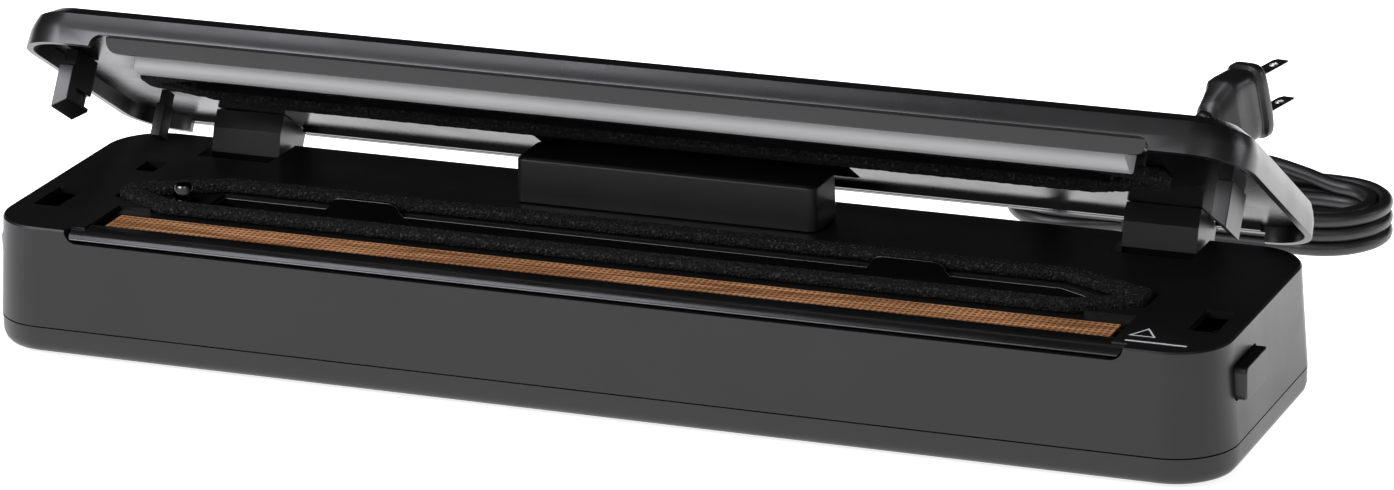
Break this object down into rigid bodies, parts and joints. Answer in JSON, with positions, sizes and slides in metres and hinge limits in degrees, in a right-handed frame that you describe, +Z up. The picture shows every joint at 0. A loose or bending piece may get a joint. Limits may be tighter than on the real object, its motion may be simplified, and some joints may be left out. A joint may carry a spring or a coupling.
{
  "type": "vacuum sealer",
  "caption": "Long low counter-top vacuum sealer, dark plastic, lid raised on rear hinges over a seal bar, foam gasket and lift-out drip tray, cord wound behind it.",
  "frame": {"origin": "middle of the footprint of the sealer with its lid open, at the table the feet stand on, without the cord", "axes": "+X along the length towards the right end, -Y towards the user, +Z up"},
  "size_m": [0.3924, 0.2767, 0.0989],
  "materials": {
    "satin_black_plastic": "satin moulded",
    "gloss_black_plastic": "polished",
    "dark_plastic": "semi-matte moulded",
    "foam": "open-cell foam",
    "silicone": "smooth silicone",
    "glass_cloth_tape": "coated woven glass cloth",
    "steel": "bright",
    "heating_wire": "flat resistance band",
    "plated_brass": "bright",
    "rubber": "matte",
    "circuit_board": "solder mask",
    "transformer_core": "varnished core and winding",
    "clear_hose": "translucent silicone",
    "lens": "clear",
    "cord_sheath": "satin sheath"
  },
  "bodies": {
    "base": {"upper_housing": "satin_black_plastic", "bottom_cover": "satin_black_plastic", "seal_bar_base": "gloss_black_plastic", "heating_element": "heating_wire", "heat_strip_cover": "glass_cloth_tape", "lower_gasket": "foam", "vacuum_nozzle": "steel", "pod_cover": "gloss_black_plastic", "air_hose": "clear_hose", "pump_head": "dark_plastic", "pump_motor": "steel", "power_board": "circuit_board", "transformer": "transformer_core", "micro_switch": "dark_plastic", "slider_spring_left": "steel", "slider_spring_right": "steel", "hinge_pin_left": "steel", "hinge_pin_right": "steel", "lid_spring_left": "steel", "lid_spring_right": "steel", "foot_1": "rubber", "foot_2": "rubber", "foot_3": "rubber", "foot_4": "rubber", "cover_screw_1": "steel", "cover_screw_2": "steel", "cover_screw_3": "steel", "cover_screw_4": "steel", "cord_gland": "rubber", "cord_lead": "cord_sheath", "cord_hank": "cord_sheath", "cord_tie": "rubber", "cord_tail": "cord_sheath", "plug_body": "cord_sheath", "plug_blade_upper": "plated_brass", "plug_blade_lower": "plated_brass"},
    "lid": {"lid_shell": "satin_black_plastic", "lid_inner_plate": "gloss_black_plastic", "press_bar": "silicone", "upper_gasket": "foam", "switch_peg": "dark_plastic", "control_board": "circuit_board", "latch_hook_left": "dark_plastic", "latch_hook_right": "dark_plastic", "hinge_arm_left": "dark_plastic", "hinge_arm_right": "dark_plastic", "status_light": "lens"},
    "tray": {"drip_tray": "gloss_black_plastic"},
    "plunger": {"switch_plunger": "silicone"},
    "release_left": {"release_button_left": "satin_black_plastic", "latch_slider_left": "dark_plastic"},
    "release_right": {"release_button_right": "satin_black_plastic", "latch_slider_right": "dark_plastic"},
    "seal_key": {"seal_button": "gloss_black_plastic"},
    "vacuum_seal_key": {"vacuum_seal_button": "gloss_black_plastic"},
    "stop_key": {"stop_button": "gloss_black_plastic"}
  },
  "joints": [
    {"name": "lid_hinge", "type": "hinge", "parent": "base", "child": "lid", "pos_m": [0, 0.04144, 0.0285], "axis": [1, 0, 0], "range_deg": [0, 32.6], "stiffness_Nm_per_rad": 0.45, "springref_deg": -57.3},
    {"name": "release_left_slide", "type": "slide", "parent": "base", "child": "release_left", "axis": [1, 0, 0], "range_m": [0, 0.003], "stiffness_N_per_m": 450, "springref_m": -0.003, "deforming": ["slider_spring_left"]},
    {"name": "release_right_slide", "type": "slide", "parent": "base", "child": "release_right", "axis": [-1, 0, 0], "range_m": [0, 0.003], "stiffness_N_per_m": 450, "springref_m": -0.003, "deforming": ["slider_spring_right"]},
    {"name": "tray_lift", "type": "slide", "parent": "base", "child": "tray", "axis": [0, 0, -1], "range_m": [-0.015, 0]},
    {"name": "switch_press", "type": "slide", "parent": "base", "child": "plunger", "axis": [0, 0, -1], "range_m": [0, 0.001], "stiffness_N_per_m": 300, "springref_m": -0.001},
    {"name": "seal_key_press", "type": "slide", "parent": "lid", "child": "seal_key", "axis": [0, -0.5388, -0.8425], "range_m": [0, 0.0008], "stiffness_N_per_m": 900, "springref_m": -0.001},
    {"name": "vacuum_seal_key_press", "type": "slide", "parent": "lid", "child": "vacuum_seal_key", "axis": [0, -0.5388, -0.8425], "range_m": [0, 0.0008], "stiffness_N_per_m": 900, "springref_m": -0.001},
    {"name": "stop_key_press", "type": "slide", "parent": "lid", "child": "stop_key", "axis": [0, -0.5388, -0.8425], "range_m": [0, 0.0008], "stiffness_N_per_m": 900, "springref_m": -0.001}
  ]
}
